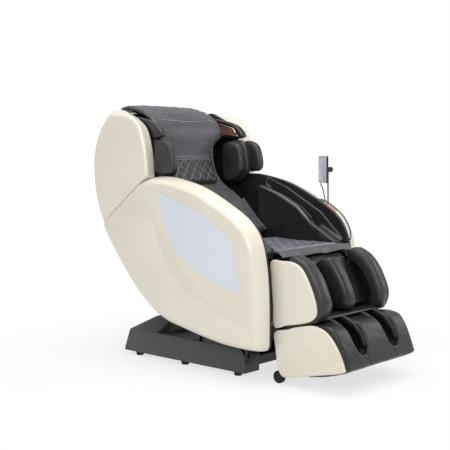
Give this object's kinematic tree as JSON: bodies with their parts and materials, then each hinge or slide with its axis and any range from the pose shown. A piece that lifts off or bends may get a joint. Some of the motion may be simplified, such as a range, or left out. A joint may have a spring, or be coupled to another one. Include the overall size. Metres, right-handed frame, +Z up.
{
  "type": "massage chair",
  "caption": "Rocking massage chair with sculpted side shells, reclining padded back, head pillow, lifting calf rest, sliding footrest and a corded hand remote on a stand.",
  "frame": {"origin": "on the floor below the middle of the bounding box, at rest", "axes": "+Z up, the sitter faces -Y, +X is the sitter's left"},
  "size_m": [0.77, 1.3976, 1.1972],
  "materials": {
    "cream_shell": "gloss",
    "pale_panel": "satin",
    "base_plastic": "matt",
    "dark_plastic": "matt",
    "frame_steel": "powder coat",
    "rail_steel": "brushed",
    "motor_metal": "satin",
    "nylon": "matt",
    "circuit_case": "matt",
    "switch_red": "gloss",
    "rubber": "matt",
    "black_leather": "satin",
    "grey_leather": "satin",
    "airbag_film": "matt",
    "rose_metal": "anodised",
    "rose_mesh": "satin",
    "amber_roller": "satin",
    "remote_black": "gloss",
    "screen": "gloss"
  },
  "bodies": {
    "base": {"base_cover": "base_plastic", "base_frame": "frame_steel", "base_feet": "rubber", "glide_blocks": "nylon", "control_box": "circuit_case", "air_pump": "motor_metal", "rock_motor": "motor_metal", "mains_inlet": "dark_plastic"},
    "mains_switch": {"power_switch": "switch_red"},
    "seat_unit": {"right_side_shell": "cream_shell", "left_side_shell": "cream_shell", "side_panels": "pale_panel", "seat_frame": "frame_steel", "rocker_rails": "rail_steel", "belly_cover": "dark_plastic", "right_arm_liner": "black_leather", "left_arm_liner": "black_leather", "arm_airbags": "airbag_film", "seat_pan": "dark_plastic", "seat_cushion": "black_leather", "seat_mat": "grey_leather", "seat_flap": "grey_leather", "lumbar_pad": "grey_leather", "leg_motor": "dark_plastic", "recline_actuator": "motor_metal", "remote_stand": "rose_metal", "remote_cord": "rubber", "cord_gland": "dark_plastic"},
    "actuator_rod": {"recline_rod": "rail_steel"},
    "backrest": {"back_frame": "frame_steel", "back_panel": "black_leather", "back_cover": "cream_shell", "right_back_shell": "cream_shell", "left_back_shell": "cream_shell", "back_liner": "grey_leather", "head_pillow": "grey_leather", "right_head_wing": "black_leather", "left_head_wing": "black_leather", "speaker_grilles": "rose_mesh", "right_shoulder_pad": "black_leather", "left_shoulder_pad": "black_leather"},
    "carriage": {"massage_carriage": "motor_metal"},
    "arms": {"massage_arms": "rail_steel"},
    "upper_roller_shaft": {"upper_rollers": "amber_roller"},
    "lower_roller_shaft": {"lower_rollers": "amber_roller"},
    "legrest": {"leg_frame": "frame_steel", "calf_housing": "dark_plastic", "calf_shells": "cream_shell", "right_calf_bolster": "black_leather", "left_calf_bolster": "black_leather", "centre_calf_bolster": "black_leather", "calf_pads": "black_leather"},
    "footrest": {"foot_frame": "rail_steel", "foot_boot": "black_leather", "foot_shells": "cream_shell"},
    "sole_shaft": {"sole_rollers": "amber_roller"},
    "wheel_axle": {"foot_wheels": "rubber"},
    "remote": {"remote_shell": "remote_black", "remote_screen": "screen"},
    "clamp_knob": {"remote_knob": "dark_plastic"}
  },
  "joints": [
    {"name": "seat_rock", "type": "hinge", "parent": "base", "child": "seat_unit", "pos_m": [0, -0.05, 0.72], "axis": [-1, 0, 0], "range_deg": [0, 15]},
    {"name": "switch_tilt", "type": "hinge", "parent": "base", "child": "mains_switch", "pos_m": [0, 0.552, 0.066], "axis": [1, 0, 0], "range_deg": [-14, 0]},
    {"name": "back_recline", "type": "hinge", "parent": "seat_unit", "child": "backrest", "pos_m": [0, 0.29, 0.34], "axis": [-1, 0, 0], "range_deg": [0, 30]},
    {"name": "actuator_slide", "type": "slide", "parent": "seat_unit", "child": "actuator_rod", "axis": [0, 0.9756, 0.2195], "range_m": [0, 0.06]},
    {"name": "carriage_slide", "type": "slide", "parent": "backrest", "child": "carriage", "axis": [0, 0.1414, 0.9899], "range_m": [0, 0.12]},
    {"name": "arm_rock", "type": "hinge", "parent": "carriage", "child": "arms", "pos_m": [0, 0.54616, 0.89226], "axis": [1, 0, 0], "range_deg": [-8, 8]},
    {"name": "upper_roller_spin", "type": "hinge", "parent": "arms", "child": "upper_roller_shaft", "pos_m": [0, 0.51222, 0.95166], "axis": [1, 0, 0], "continuous": true},
    {"name": "lower_roller_spin", "type": "hinge", "parent": "arms", "child": "lower_roller_shaft", "pos_m": [0, 0.49695, 0.84475], "axis": [1, 0, 0], "continuous": true},
    {"name": "leg_lift", "type": "hinge", "parent": "seat_unit", "child": "legrest", "pos_m": [0, -0.375, 0.47], "axis": [-1, 0, 0], "range_deg": [0, 75], "deforming": ["seat_flap"]},
    {"name": "foot_extend", "type": "slide", "parent": "legrest", "child": "footrest", "axis": [0, -0.2011, -0.9796], "range_m": [0, 0.12]},
    {"name": "sole_roller_spin", "type": "hinge", "parent": "footrest", "child": "sole_shaft", "pos_m": [0, -0.52, 0.082], "axis": [1, 0, 0], "continuous": true},
    {"name": "foot_wheel_spin", "type": "hinge", "parent": "footrest", "child": "wheel_axle", "pos_m": [0, -0.341, 0.027], "axis": [1, 0, 0], "continuous": true},
    {"name": "remote_tilt", "type": "hinge", "parent": "seat_unit", "child": "remote", "pos_m": [0.35111, -0.16041, 0.888], "axis": [0.4756, 0.8797, 0], "range_deg": [0, 30]},
    {"name": "knob_turn", "type": "hinge", "parent": "seat_unit", "child": "clamp_knob", "pos_m": [0.35111, -0.16041, 0.888], "axis": [0.4756, 0.8797, 0], "continuous": true}
  ],
  "couplings": [
    {"joint": "actuator_slide", "follows": "back_recline", "m_per_rad": 0.094}
  ]
}
